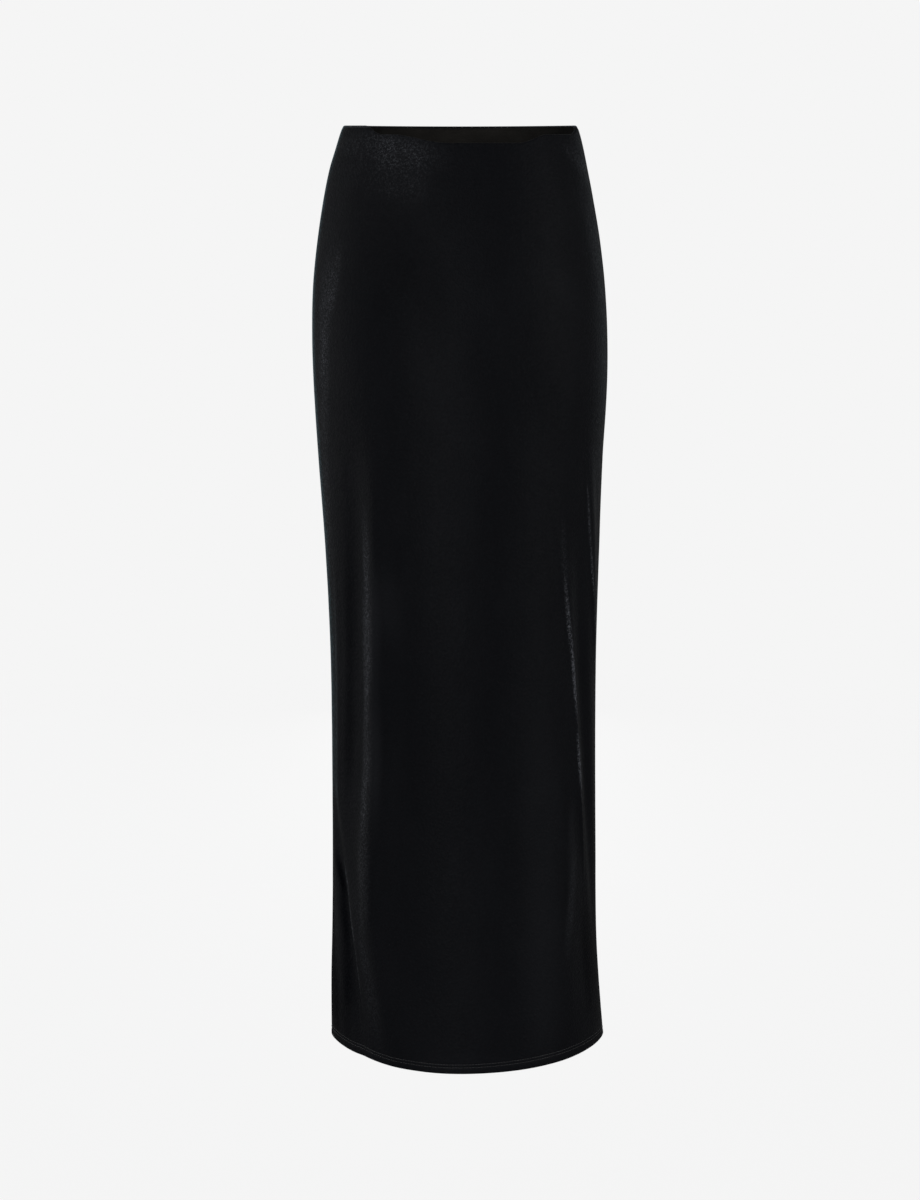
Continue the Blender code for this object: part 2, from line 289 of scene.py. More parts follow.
# The ridge between the rows and the puff below them, as shares of the groove's depth.
RIDGE_SHARE = 0.5
PUFF_SHARE = 0.45
PUFF_HEIGHT = 0.0042
PUFF_HALF_WIDTH = 0.0030
# The hem's slow wave up and down, which fades out above the hem.
HEM_WAVE = 0.0004
HEM_WAVES = 5
HEM_WAVE_START = 0.6
HEM_WAVE_SPAN = 0.06

COLUMN_STEP = 0.78
BODY_ROWS = 190
INNER_ROWS = 64
HEM_ROW_STEP = 0.00055
# How far above the stitching the hem's close rows start.
HEM_ROWS_ABOVE = 0.0075
# Places at which the cloth is measured along one drop, and at which a measured drop is kept.
MEASURED_TURNS = 1441
KEPT_TURNS = 2001
# Turns from a seam at which the columns next to it stand.
SEAM_STEPS = np.array([0.0, 0.2, 0.5, 0.9, 1.4, 2.0, 2.7])

rng = np.random.default_rng(11)


# ---------------------------------------------------------------- the form of the cloth

TABLE = np.array(SECTIONS)
ROW_NUMBERS = np.arange(len(TABLE))
ABOVE = np.maximum(ROW_NUMBERS - 1, 0)
BELOW = np.minimum(ROW_NUMBERS + 1, len(TABLE) - 1)
SLOPES = (TABLE[BELOW] - TABLE[ABOVE]) / (TABLE[BELOW, :1] - TABLE[ABOVE, :1])


def smooth_step(share):
    """0 at a share of 0 or less, 1 at 1 or more, and a smooth rise between."""
    share = np.clip(share, 0.0, 1.0)
    return share * share * (3 - 2 * share)


def bell(distance, half_width):
    return np.exp(-((distance / half_width) ** 2))


def section_at(drop):
    """The section table, read as smooth curves at each drop of an array."""
    drop = np.clip(drop, TABLE[0, 0], TABLE[-1, 0])
    index = np.clip(np.searchsorted(TABLE[:, 0], drop, side="right") - 1, 0, len(TABLE) - 2)
    above, below = TABLE[index], TABLE[index + 1]
    span = below[..., :1] - above[..., :1]
    t = (drop[..., None] - above[..., :1]) / span
    values = (
        above * (1 + 2 * t) * (1 - t) ** 2
        + SLOPES[index] * span * t * (1 - t) ** 2
        + below * t * t * (3 - 2 * t)
        - SLOPES[index + 1] * span * t * t * (1 - t)
    )
    return Section(*np.moveaxis(values, -1, 0))


def outline(turn, section):
    """The body form at a turn, without folds, as x and y."""
    across, ahead = np.sin(np.radians(turn)), np.cos(np.radians(turn))
    half_width = np.where(across > 0, section.right, section.left)
    pinch = np.where(across > 0, section.right_pinch, section.left_pinch)
    depth = np.where(ahead > 0, section.front, section.back)
    x = half_width * across + section.sway * np.maximum(ahead, 0.0) ** SWAY_POWER
    return x, -depth * np.copysign(np.abs(ahead) ** pinch, ahead)


def way_out(turn, section):
    """The level direction straight out of the cloth. At a seam it lies along X, in the seam's plane."""
    x0, y0 = outline(turn - NORMAL_SPAN, section)
    x1, y1 = outline(turn + NORMAL_SPAN, section)
    length = np.hypot(x1 - x0, y1 - y0)
    at_seam = np.abs(np.cos(np.radians(turn))) < 1e-9
    out_x = np.where(at_seam, np.copysign(1.0, np.sin(np.radians(turn))), (y1 - y0) / length)
    out_y = np.where(at_seam, 0.0, (x0 - x1) / length)
    return out_x, out_y


def across_fold(turn, drop, fold, bow=0.0):
    """The distance from a fold's line, towards higher turns, and how far the fold has faded in."""
    share = (drop - fold.top_drop) / (fold.low_drop - fold.top_drop)
    line = fold.top_turn + (fold.low_turn - fold.top_turn) * share + bow * 4 * share * (1 - share)
    away = (turn - line + 180) % 360 - 180
    fade = smooth_step(share / FOLD_FADE) * smooth_step((1 - share) / FOLD_FADE)
    return np.radians(away) * FOLD_RADIUS, fade


def fold_height(turn, drop):
    """How far the folds and creases lift the cloth off the body form."""
    total = np.zeros_like(turn)
    for fold in FOLDS:
        distance, fade = across_fold(turn, drop, fold)
        total += fold.height * fade * bell(distance, fold.half_width)
    for crease in CREASES:
        distance, fade = across_fold(turn, drop, crease, crease.bow)
        total += crease.height * fade * bell(distance, np.where(distance < 0, crease.near, crease.far))
    return total


def unevenness(x, y, z):
    """How far the slow unevenness lifts the cloth at each point of the body form."""
    points = np.stack([x.ravel(), y.ravel(), z.ravel()], axis=-1)
    total = np.zeros(len(points))
    for layer in UNEVENNESS:
        scaled = points / (layer.size * np.array([1.0, 1.0, layer.stretch]))
        total += layer.height * np.array([noise.noise(Vector(point)) for point in scaled])
    return total.reshape(x.shape)


def cloth_point(turn, drop, out=0.0):
    """Points that lie out from the cloth's outer face by a distance, as an array whose rows are x, y, z."""
    turn, drop, out = (np.array(a, dtype=float) for a in np.broadcast_arrays(turn, drop, out))
    section = section_at(drop)
    x, y = outline(turn, section)
    out_x, out_y = way_out(turn, section)
    lift = fold_height(turn, drop) + unevenness(x, y, -drop) + out
    return np.stack([x + out_x * lift, y + out_y * lift, -drop], axis=-1)


def cloth_out(turn, drop):
    """The level direction straight out of the cloth at each place, as x, y, z."""
    turn, drop = (np.array(a, dtype=float) for a in np.broadcast_arrays(turn, drop))
    out_x, out_y = way_out(turn, section_at(drop))
    return np.stack([out_x, out_y, np.zeros_like(out_x)], axis=-1)


def waist_edge(turn):
    """The drop of the waist's top edge."""
    away = np.abs((turn + 180) % 360 - 180)
    on_left = np.sin(np.radians(turn)) > 0

    def shelf(turns):
        return smooth_step((away - turns[0]) / (turns[1] - turns[0]))

    front = FRONT_SHELF_DIP * np.where(on_left, shelf(LEFT_SHELF_TURNS), shelf(RIGHT_SHELF_TURNS))
    front = front + FRONT_MIDDLE_DIP * np.where(on_left, shelf(LEFT_MIDDLE_TURNS), shelf(RIGHT_MIDDLE_TURNS))
    return np.where(away > SEAM_TURN, BACK_MIDDLE_DIP * np.cos(np.radians(away)) ** 2, front)


def turns_along(drop, start, end, distances):
    """The turns that lie at distances along the cloth from a start, at one drop."""
    turns = np.linspace(start, end, MEASURED_TURNS)
    points = cloth_point(turns, drop)
    travelled = np.concatenate([[0.0], np.cumsum(np.linalg.norm(np.diff(points, axis=0), axis=1))])
    return np.interp(distances, travelled, turns), travelled[-1]


# ---------------------------------------------------------------- meshes

def grid_faces(columns, rows, close_columns, close_rows):
    """Quads of a grid whose vertices run down each column in turn."""
    a = np.arange(columns if close_columns else columns - 1)[:, None]
    b = (a + 1) % columns
    k = np.arange(rows if close_rows else rows - 1)[None, :]
    m = (k + 1) % rows
    quads = np.stack([a * rows + k, a * rows + m, b * rows + m, b * rows + k], axis=-1)
    return quads.reshape(-1, 4).tolist()


def make_piece(name, points, faces, materials, face_materials=None, sharp_angle=55):
    """A mesh object that rides on the skirt's one body, with its faces turned outwards."""
    mesh = bpy.data.meshes.new(name)
    mesh.from_pydata(points.reshape(-1, 3).tolist(), [], faces)
    mesh.update()
    if face_materials is not None:
        mesh.polygons.foreach_set("material_index", face_materials)
    if signed_volume(mesh) < 0:
        mesh.flip_normals()
    mesh.shade_smooth()
    mesh.set_sharp_from_angle(angle=radians(sharp_angle))
    for material in materials:
        mesh.materials.append(material)
    piece = bpy.data.objects.new(name, mesh)
    bpy.context.scene.collection.objects.link(piece)
    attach(piece, "root")
    return piece


def signed_volume(mesh):
    """Above 0 where a closed mesh's faces point outwards."""
    mesh.calc_loop_triangles()
    corners = np.empty(len(mesh.vertices) * 3)
    mesh.vertices.foreach_get("co", corners)
    corners = corners.reshape(-1, 3)
    triangles = np.empty(len(mesh.loop_triangles) * 3, dtype=int)
    mesh.loop_triangles.foreach_get("vertices", triangles)
    a, b, c = (corners[triangles.reshape(-1, 3)[:, i]] for i in range(3))
    return (a * np.cross(b, c)).sum() / 6


# ---------------------------------------------------------------- the two velvet panels

def wall_profile(turns):
    """The wall's closed section at each turn, from the waist lip's inside over the top and round the hem.

    Gives drops and insets from the outer face, one row a turn, then for each point of the section
    whether it is on the outer face and whether it shows the velvet's back.
    """
    edge = waist_edge(turns)[:, None]
    drops, insets, outer, back = [], [], [], []

    def add(drop, inset, is_outer=False, is_back=False):
        drop, inset = np.broadcast_arrays(drop, inset)
        drops.append(drop + 0.0 * edge)
        insets.append(inset + 0.0 * edge)
        outer.extend([is_outer] * drops[-1].shape[1])
        back.extend([is_back] * drops[-1].shape[1])

    angles = np.linspace(0.0, pi, LIP_POINTS)[None, :]
    add(edge + LIP_DEPTH, np.array([[LIP_INSET]]))
    add(edge + LIP_ROLL * (1 - np.sin(angles)), LIP_INSET / 2 * (1 + np.cos(angles)))
    add(edge + np.array([LIP_ROWS]), 0.0, is_outer=True)

    start = edge + WALL_START
    end = LENGTH - STITCH_ROWS[-1] - HEM_ROWS_ABOVE
    add(start + (end - start) * np.linspace(0, 1, BODY_ROWS)[None, :], 0.0, is_outer=True)

    heights = np.arange(LENGTH - end - HEM_ROW_STEP, HEM_ROLL, -HEM_ROW_STEP)[None, :]
    add(LENGTH - heights, hem_relief(turns[:, None], heights), is_outer=True)
    angles = np.linspace(0.0, pi, HEM_ROLL_POINTS)[None, :]
    add(LENGTH - HEM_ROLL * (1 - np.sin(angles)), CLOTH * (1 - np.cos(angles)))

    heights = np.linspace(HEM_ROLL + TURN_UP_MARGIN, HEM_TURN_UP - TURN_UP_MARGIN, TURN_UP_ROWS)[None, :]
    add(LENGTH - heights, 2 * CLOTH - INSIDE_RELIEF * hem_relief(turns[:, None], heights))
    add(LENGTH - HEM_TURN_UP + np.array([RAW_EDGE_DROPS]), np.array([RAW_EDGE_INSETS]))
    start, end = LENGTH - HEM_TURN_UP - RAW_EDGE_STEP, edge + LIP_DEPTH
    add(start + (end - start) * np.linspace(0, 1, INNER_ROWS)[None, :], CLOTH, is_back=True)
    return np.hstack(drops), np.hstack(insets), np.array(outer), np.array(back)


def stitch_wander(turn):
    """How far the twin rows lie above their usual height at a turn."""
    return -STITCH_WANDER * np.cos(np.radians(turn + WANDER_START) * WANDER_WAVES)


def hem_relief(turn, height):
    """How far the stitching pulls the outer face in near the hem, with a soft ridge between its rows."""
    pull = 1 + PULL_SWING * np.sin(turn * PULL_WAVES[0]) * np.sin(turn * PULL_WAVES[1] + 1.0)
    low, high = STITCH_ROWS
    height = height - stitch_wander(turn)
    grooves = bell(height - low, GROOVE_HALF_WIDTH) + bell(height - high, GROOVE_HALF_WIDTH)
    ridge = RIDGE_SHARE * bell(height - (low + high) / 2, GROOVE_HALF_WIDTH)
    puff = PUFF_SHARE * bell(height - PUFF_HEIGHT, PUFF_HALF_WIDTH)
    return GROOVE_DEPTH * pull * (grooves - ridge - puff)


def hem_wave(turn, drop):
    """How far the hem's slow wave lifts each place."""
    near_hem = smooth_step((drop - LENGTH + HEM_WAVE_SPAN) / HEM_WAVE_SPAN)
    return HEM_WAVE * near_hem * np.sin(np.radians(turn) * HEM_WAVES + HEM_WAVE_START)


def panel_turns(start, end):
    """The turns of a panel's columns, crowded at its two seams."""
    clear = SEAM_STEPS[-1] + COLUMN_STEP
    count = int(round((end - start - 2 * clear) / COLUMN_STEP)) + 1
    middle = np.linspace(start + clear, end - clear, count)
    return np.concatenate([start + SEAM_STEPS, middle, end - SEAM_STEPS[::-1]])


def velvet_panel(name, start, end, side, velvet, velvet_back):
    """A panel between two seams. side is -1 for the front panel and 1 for the back."""
    turns = panel_turns(start, end)
    drops, insets, outer, back = wall_profile(turns)
    turn_grid = np.broadcast_to(turns[:, None], drops.shape)
    _, along = outline(turn_grid, section_at(drops))
    insets = insets + SEAM_GROOVE * bell(along, SEAM_HALF_WIDTH) * outer
    points = cloth_point(turn_grid, drops, -insets)
    points[..., 1] = side * np.maximum(side * points[..., 1], GAP / 2)
    points[..., 2] += hem_wave(turn_grid, drops)

    columns, rows = drops.shape
    faces = grid_faces(columns, rows, False, True)
    face_materials = np.tile((back & np.roll(back, -1)).astype(int), columns - 1)
    last = (columns - 1) * rows
    faces += [list(range(rows)), list(range(last + rows - 1, last - 1, -1))]
    face_materials = np.append(face_materials, [0, 0])
    return make_piece(name, points, faces, [velvet, velvet_back], face_materials)


# ---------------------------------------------------------------- the waist elastic

def elastic_band(material):
    """The loop inside the waist, with ribs woven along it on the side that shows."""
    turns = np.arange(-90.0, 270.0, ELASTIC_TURN_STEP)
    top = waist_edge(turns)[:, None] + ELASTIC_TOP_DEPTH
    outer_inset = CLOTH + GAP
    inner_inset = outer_inset + ELASTIC_THICKNESS
    down_outer = np.linspace(ELASTIC_EDGE, ELASTIC_WIDTH - ELASTIC_EDGE, ELASTIC_OUTER_ROWS)[None, :]
    up_inner = np.linspace(ELASTIC_WIDTH - ELASTIC_EDGE, ELASTIC_EDGE, ELASTIC_INNER_ROWS)[None, :]
    ribs = RIB_HEIGHT * (0.5 + 0.5 * np.cos(2 * pi * up_inner / RIB_PITCH))
    edge_roll = np.array([[ELASTIC_EDGE, 2 * ELASTIC_EDGE]])
    drops = np.hstack([
        top + down_outer,
        top + np.full((1, 2), ELASTIC_WIDTH),
        top + up_inner,
        top + np.zeros((1, 2)),
    ])
    insets = np.hstack([
        np.full((1, down_outer.size), outer_inset),
        outer_inset + edge_roll,
        inner_inset - ribs,
        inner_inset - edge_roll,
    ])
    points = cloth_point(turns[:, None], drops, -insets)
    faces = grid_faces(len(turns), drops.shape[1], True, True)
    return make_piece("waist_elastic_band", points, faces, [material])


# ---------------------------------------------------------------- threads and seams

class Threads:
    """Many short tubes of thread, gathered into one mesh."""

    def __init__(self):
        self.points, self.faces = [], []
        self.count = 0

    def add(self, path, outward, radius, sides=6):
        """A tube along a path of points, with tapered tips. outward is a direction at each point."""
        along = np.gradient(path, axis=0)
        along /= np.linalg.norm(along, axis=1)[:, None]
        sideways = np.cross(along, outward)
        sideways /= np.linalg.norm(sideways, axis=1)[:, None]
        upward = np.cross(sideways, along)
        radii = np.full(len(path), radius)
        radii[[0, -1]] *= 0.45
        angles = np.linspace(0, 2 * pi, sides, endpoint=False)
        around, over = np.sin(angles)[None, :, None], np.cos(angles)[None, :, None]
        ring = over * upward[:, None] + around * sideways[:, None]
        self.points.append((path[:, None] + radii[:, None, None] * ring).reshape(-1, 3))
        first, last = self.count, self.count + (len(path) - 1) * sides
        for face in grid_faces(len(path), sides, False, True):
            self.faces.append([first + corner for corner in face])
        self.faces.append([first + side for side in range(sides)])
        self.faces.append([last + side for side in reversed(range(sides))])
        self.count += len(path) * sides

    def piece(self, name, material, slot):
        return make_piece(name, np.vstack(self.points), self.faces, [material])


def hem_stitching(name, start, end, material):
    """Twin rows of topstitching on a panel's hem, and the thread that crosses between them inside."""
    threads = Threads()
    share = np.linspace(0, 1, STITCH_POINTS)
    for height in STITCH_ROWS:
        drop = LENGTH - height
        length = turns_along(drop, start, end, 0.0)[1]
        count = int(length // STITCH_PITCH)
        pitch = length / count
        jitter = rng.uniform(-STITCH_JITTER, STITCH_JITTER, count)
        firsts = pitch * (np.arange(count) + jitter) + STITCH_HOLE / 2
        lengths = (pitch - STITCH_HOLE) * rng.uniform(*STITCH_LENGTHS, count)
        slants = rng.uniform(-STITCH_SLANT, STITCH_SLANT, (count, 2))
        lifts = rng.uniform(*STITCH_LIFTS, count)
        for first, span, slant, lift in zip(firsts, lengths, slants, lifts):
            turns = turns_along_cached(drop, start, end, first + span * share)
            drops = drop - stitch_wander(turns) + slant[0] + (slant[1] - slant[0]) * share
            bulge = THREAD_RADIUS * (2.1 * lift * np.sin(pi * share) ** 0.6 - 0.9)
            out = bulge - hem_relief(turns, LENGTH - drops)
            threads.add(hem_point(turns, drops, out), cloth_out(turns, drops), THREAD_RADIUS)
    low, high = STITCH_ROWS
    length = turns_along(LENGTH - low, start, end, 0.0)[1]
    count = int(length // STITCH_PITCH)
    steps = np.arange(0.3, count - 0.3, 0.25)
    turns = turns_along_cached(LENGTH - low, start, end, steps * length / count)
    sway = np.clip(1.5 * np.sin(2 * pi * steps), -1, 1)
    heights = stitch_wander(turns) + (low + high) / 2 + (high - low) / 2 * sway
    out = -(2 * CLOTH + THREAD_RADIUS * (0.6 + 0.5 * np.abs(np.cos(2 * pi * steps))))
    inward = -cloth_out(turns, LENGTH - heights)
    threads.add(hem_point(turns, LENGTH - heights, out), inward, THREAD_RADIUS, sides=5)
    return threads.piece(name, material, "thread")


TURNS_ALONG = {}


def turns_along_cached(drop, start, end, distances):
    """As turns_along, but the cloth at each drop is measured once."""
    key = (drop, start, end)
    if key not in TURNS_ALONG:
        steps = np.linspace(0, 1, KEPT_TURNS)
        length = turns_along(drop, start, end, 0.0)[1]
        TURNS_ALONG[key] = (steps * length, turns_along(drop, start, end, steps * length)[0])
    return np.interp(distances, *TURNS_ALONG[key])


def hem_point(turn, drop, out):
    """Points on or near the hem, with the hem's slow wave."""
    points = cloth_point(turn, drop, out)
    points[..., 2] += hem_wave(turn, drop)
    return points


def turn_from_seam(side, distance, drop):
    """The turn on one side at a distance behind the seams' plane, or ahead of it if below 0."""
    section = section_at(np.array(drop, dtype=float))
    pinch = section.right_pinch if side > 0 else section.left_pinch
    depth = np.where(distance > 0, section.back, section.front)
    share = np.clip(np.abs(distance) / depth, 0, 1) ** (1 / pinch)
    past = np.sign(distance) * np.degrees(np.arcsin(share))
    return 90 + past if side > 0 else 270 - past


def allowance_inset(drop):
    """How far in from the cloth's outer face a seam allowance lies: further over the turned-up hem."""
    over_hem = smooth_step((drop - LENGTH + HEM_TURN_UP + HEM_STEP_START) / HEM_STEP_SPAN)
    return CLOTH + GAP + (CLOTH + HEM_STEP_ROOM) * over_hem


def raw_edge_wave(drop, side):
    """How far an allowance's raw edge wanders from straight."""
    return 0.0005 * np.sin(drop * 61.0 + side) + 0.0003 * np.sin(drop * 173.0)


def seam_allowance(name, side, material, thread):
    """Inside a side seam, the two layers of allowance pressed to the back, with their overlocked edge.

    They start just past the seam on the front, so they close it, and they run down over the turned-up hem.
    """
    top = ELASTIC_TOP_DEPTH + ELASTIC_WIDTH + BELOW_ELASTIC
    drops = np.linspace(top, LENGTH - ABOVE_HEM_EDGE, ALLOWANCE_ROWS)[:, None]
    half = ALLOWANCE_THICKNESS / 2
    reach = np.array([[-SEAM_LAP, 0.004, 0.0078, 0.0084, ALLOWANCE_WIDTH, 0.0082,
                       ALLOWANCE_WIDTH, 0.0084, 0.0078, 0.004, -SEAM_LAP]])
    depth = np.array([[0.0, 0.0, 0.0001, 0.0004, half - 0.0003, half, half + 0.0003,
                       2 * half - 0.0004, 2 * half - 0.0001, 2 * half, 2 * half]])
    reach = reach + raw_edge_wave(drops, side) * (reach / ALLOWANCE_WIDTH)
    turns = turn_from_seam(side, reach, drops)
    points = cloth_point(turns, drops, -(allowance_inset(drops) + depth))
    faces = grid_faces(len(drops), reach.shape[1], False, True)
    last = (len(drops) - 1) * reach.shape[1]
    faces += [list(range(reach.shape[1])), list(range(last + reach.shape[1] - 1, last - 1, -1))]
    allowance = make_piece(name, points, faces, [material])

    threads = Threads()
    loops = int((drops[-1, 0] - top) / OVERLOCK_PITCH)
    steps = np.arange(0, loops, 0.2)
    at = top + steps * OVERLOCK_PITCH + 0.001
    phase = 2 * pi * steps
    # Each loop runs over the inner face, out past the raw edge and back.
    out_reach = ALLOWANCE_WIDTH - OVERLOCK_REACH + OVERLOCK_SWING * (0.5 + 0.5 * np.sin(phase))
    over = allowance_inset(at) + half + (half + THREAD_RADIUS) * np.where(np.cos(phase) > -0.2, 1.0, 0.9)
    turns = turn_from_seam(side, out_reach + raw_edge_wave(at, side), at)
    path = cloth_point(turns, at, -over)
    threads.add(path, -cloth_out(turns, at), THREAD_RADIUS, sides=5)
    needle_drops = np.arange(top + 0.001, drops[-1, 0], OVERLOCK_PITCH)
    needle_turns = turn_from_seam(side, ALLOWANCE_WIDTH - NEEDLE_REACH + 0 * needle_drops, needle_drops)
    needle_inset = allowance_inset(needle_drops) + 2 * half + THREAD_RADIUS
    path = cloth_point(needle_turns, needle_drops, -needle_inset)
    threads.add(path, -cloth_out(needle_turns, needle_drops), THREAD_RADIUS, sides=5)
    overlock = threads.piece(name + "_overlock", thread, "thread")
    return allowance, overlock


def elastic_tack(name, side, material):
    """A short bar of zigzag that tacks the elastic to a side seam, inside."""
    threads = Threads()
    turn = 90 * side if side > 0 else 270
    steps = np.arange(0, TACK_ZIGZAGS, 0.5)
    drops = waist_edge(np.array([turn]))[0] + TACK_DROP + steps * TACK_PITCH
    turns = turn + TACK_SWING * np.where(steps % 1 == 0, 1, -1)
    out = -(CLOTH + GAP + ELASTIC_THICKNESS + THREAD_RADIUS * 0.7)
    threads.add(cloth_point(turns, drops, out), -cloth_out(turns, drops), THREAD_RADIUS, sides=5)
    return threads.piece(name, material, "thread")


# ---------------------------------------------------------------- materials

# Each is the dark and the light shade that a fabric varies between.
# The velvet's light shade is what the painted sheen, painted glints and painted light mix towards.
VELVET_COLOURS = (0.0018, 0.0021, 0.0033), (0.059, 0.062, 0.071)
VELVET_BACK_COLOURS = (0.0045, 0.0044, 0.0044), (0.0105, 0.0100, 0.0098)
ELASTIC_COLOURS = (0.0140, 0.0136, 0.0130), (0.0490, 0.0458, 0.0420)
THREAD_COLOURS = (0.068, 0.068, 0.071), (0.138, 0.138, 0.144)

# Noise scales: the velvet's grain, its tufts and its smudges.
GRAIN_SCALE = 850
TUFT_SCALE = 430
SMUDGE_SCALE = 18
# The most of the light shade that a painted sheen fleck shows. Past 1, it is a painted glint.
PAINTED_GLINT_LIMIT = 2.4
# How much painted light lifts the rolled top edge out of its shade.
TOP_EDGE_PAINTED_LIGHT = 0.80


def node(tree, kind, inputs=None, **settings):
    """A shader node whose inputs are linked from sockets or set to values."""
    made = tree.nodes.new("ShaderNode" + kind)
    for setting, value in settings.items():
        setattr(made, setting, value)
    for key, value in (inputs or {}).items():
        if isinstance(value, bpy.types.NodeSocket):
            tree.links.new(value, made.inputs[key])
        else:
            made.inputs[key].default_value = value
    return made


def noise_node(tree, place, scale, stretch=(1, 1, 1), detail=2.0, roughness=0.5):
    mapping = node(tree, "Mapping", {"Vector": place, "Scale": stretch})
    inputs = {"Vector": mapping.outputs[0], "Scale": scale, "Detail": detail, "Roughness": roughness}
    return node(tree, "TexNoise", inputs).outputs["Fac"]


def fit(tree, value, low, high, to_low, to_high):
    """A value from one range, fitted to another and held inside it."""
    inputs = {"Value": value, "From Min": low, "From Max": high, "To Min": to_low, "To Max": to_high}
    return node(tree, "MapRange", inputs).outputs[0]


def join(tree, operation, a, b):
    return node(tree, "Math", {0: a, 1: b}, operation=operation).outputs[0]


def shade_between(tree, share, dark, light):
    inputs = {0: share, 6: (*dark, 1.0), 7: (*light, 1.0)}
    mixed = node(tree, "Mix", inputs, data_type="RGBA", clamp_factor=False)
    return mixed.outputs[2]


def start_material(name):
    material = bpy.data.materials.new(name)
    material.use_nodes = True
    tree = material.node_tree
    place = node(tree, "TexCoord").outputs["Object"]
    return material, tree, tree.nodes["Principled BSDF"], place


def set_inputs(shader, **values):
    for name, value in values.items():
        shader.inputs[name.replace("_", " ")].default_value = value


def oval_share(tree, place, row):
    """How much of one oval's share there is at each place."""
    top, low = (Vector(cloth_point(turn, drop)) for turn, drop in (row[:2], row[2:4]))
    along = low - top
    inputs = {
        "Vector": place,
        "Location": (top + low) / 2,
        "Rotation": along.to_track_quat("Z", "Y").to_euler(),
        "Scale": (row.half_width, row.half_width, along.length / 2 + row.half_width),
    }
    oval = node(tree, "Mapping", inputs, vector_type="TEXTURE").outputs[0]
    distance = node(tree, "VectorMath", {0: oval}, operation="LENGTH").outputs["Value"]
    inputs = {"Value": distance, "From Min": 0.15, "From Max": 1.15, "To Min": row.share, "To Max": 0.0}
    return node(tree, "MapRange", inputs, interpolation_type="SMOOTHSTEP").outputs[0]


def summed_ovals(tree, place, rows):
    total = oval_share(tree, place, rows[0])
    for row in rows[1:]:
        total = join(tree, "ADD", total, oval_share(tree, place, row))
    return total


def velvet_material():
    """Short black pile: painted sheen flecks and glints, painted light and shade, faint smudges and a fine
    grain.
    """
    material, tree, shader, place = start_material("velvet")
    grain = noise_node(tree, place, GRAIN_SCALE, (1, 0.7, 1), detail=1.5, roughness=0.6)
    tuft = noise_node(tree, place, TUFT_SCALE, (1, 0.6, 0.9), detail=1.5, roughness=0.6)
    smudge = noise_node(tree, place, SMUDGE_SCALE, (1, 1, 0.5), detail=3.0, roughness=0.6)

    height = join(tree, "ADD", join(tree, "MULTIPLY", tuft, 0.8), join(tree, "MULTIPLY", grain, 0.35))
    bump = node(tree, "Bump", {"Height": height, "Strength": 0.8, "Distance": 0.0010})
    tree.links.new(bump.outputs[0], shader.inputs["Normal"])

    # Painted light and painted shade in the listed ovals, with a few faint clouds of tone.
    light_shade_and_tone_share = summed_ovals(tree, place, PAINTED_LIGHT_SHADE_AND_TONE)
    # Painted sheen: flecks of the light shade in the listed ovals, standing for light caught on ridges,
    # creases and the hips.
    painted_sheen_share = summed_ovals(tree, place, PAINTED_SHEEN_OVALS)
    painted_sheen_patches = join(tree, "MULTIPLY", painted_sheen_share, fit(tree, smudge, 0.30, 0.62, 0.45, 1.15))
    tufted, grained = fit(tree, tuft, 0.40, 0.62, 0.22, 1.1), fit(tree, grain, 0.43, 0.61, 0.0, 1.7)
    fleck = join(tree, "MULTIPLY", tufted, grained)
    # Painted sheen flecks, held below the painted glints' limit.
    painted_sheen_flecks = join(tree, "MINIMUM", join(tree, "MULTIPLY", painted_sheen_patches, fleck), PAINTED_GLINT_LIMIT)
    share = join(tree, "ADD", painted_sheen_flecks, light_shade_and_tone_share)
    share = join(tree, "ADD", share, fit(tree, smudge, 0.42, 0.70, 0.084, 0.112))
    share = join(tree, "ADD", share, fit(tree, tuft, 0.35, 0.7, 0.0, 0.038))
    # Where the rolled top edge stands at its full height, at the back and by the seams, it is painted
    # lighter: painted light over the shade it lies in.
    up = node(tree, "SeparateXYZ", {0: place}).outputs[2]
    share = join(tree, "ADD", share, fit(tree, up, -0.0024, -0.0012, 0.0, TOP_EDGE_PAINTED_LIGHT))
    share = join(tree, "MAXIMUM", share, 0.0)
    colour = shade_between(tree, share, *VELVET_COLOURS)
    tree.links.new(colour, shader.inputs["Base Color"])
    tree.links.new(fit(tree, tuft, 0.3, 0.75, 0.46, 0.32), shader.inputs["Roughness"])
    # Gloss is lower where painted shade darkens the pile.
    tree.links.new(fit(tree, light_shade_and_tone_share, -0.09, 0.0, 0.012, 0.05), shader.inputs["Specular IOR Level"])
    return material


def velvet_back_material():
    """The knitted back of the velvet: matt, with fine upright wales."""
    material, tree, shader, place = start_material("velvet_back")
    wale = noise_node(tree, place, 620, (1, 1, 0.06), detail=1.0)
    loop = noise_node(tree, place, 1100, detail=1.0)
    height = join(tree, "ADD", wale, join(tree, "MULTIPLY", loop, 0.4))
    bump = node(tree, "Bump", {"Height": height, "Strength": 0.6, "Distance": 0.0005})
    tree.links.new(bump.outputs[0], shader.inputs["Normal"])
    colour = shade_between(tree, fit(tree, wale, 0.35, 0.65, 0.0, 1.0), *VELVET_BACK_COLOURS)
    tree.links.new(colour, shader.inputs["Base Color"])
    tree.links.new(fit(tree, loop, 0.3, 0.7, 0.78, 0.92), shader.inputs["Roughness"])
    set_inputs(shader, Specular_IOR_Level=0.12)
    return material


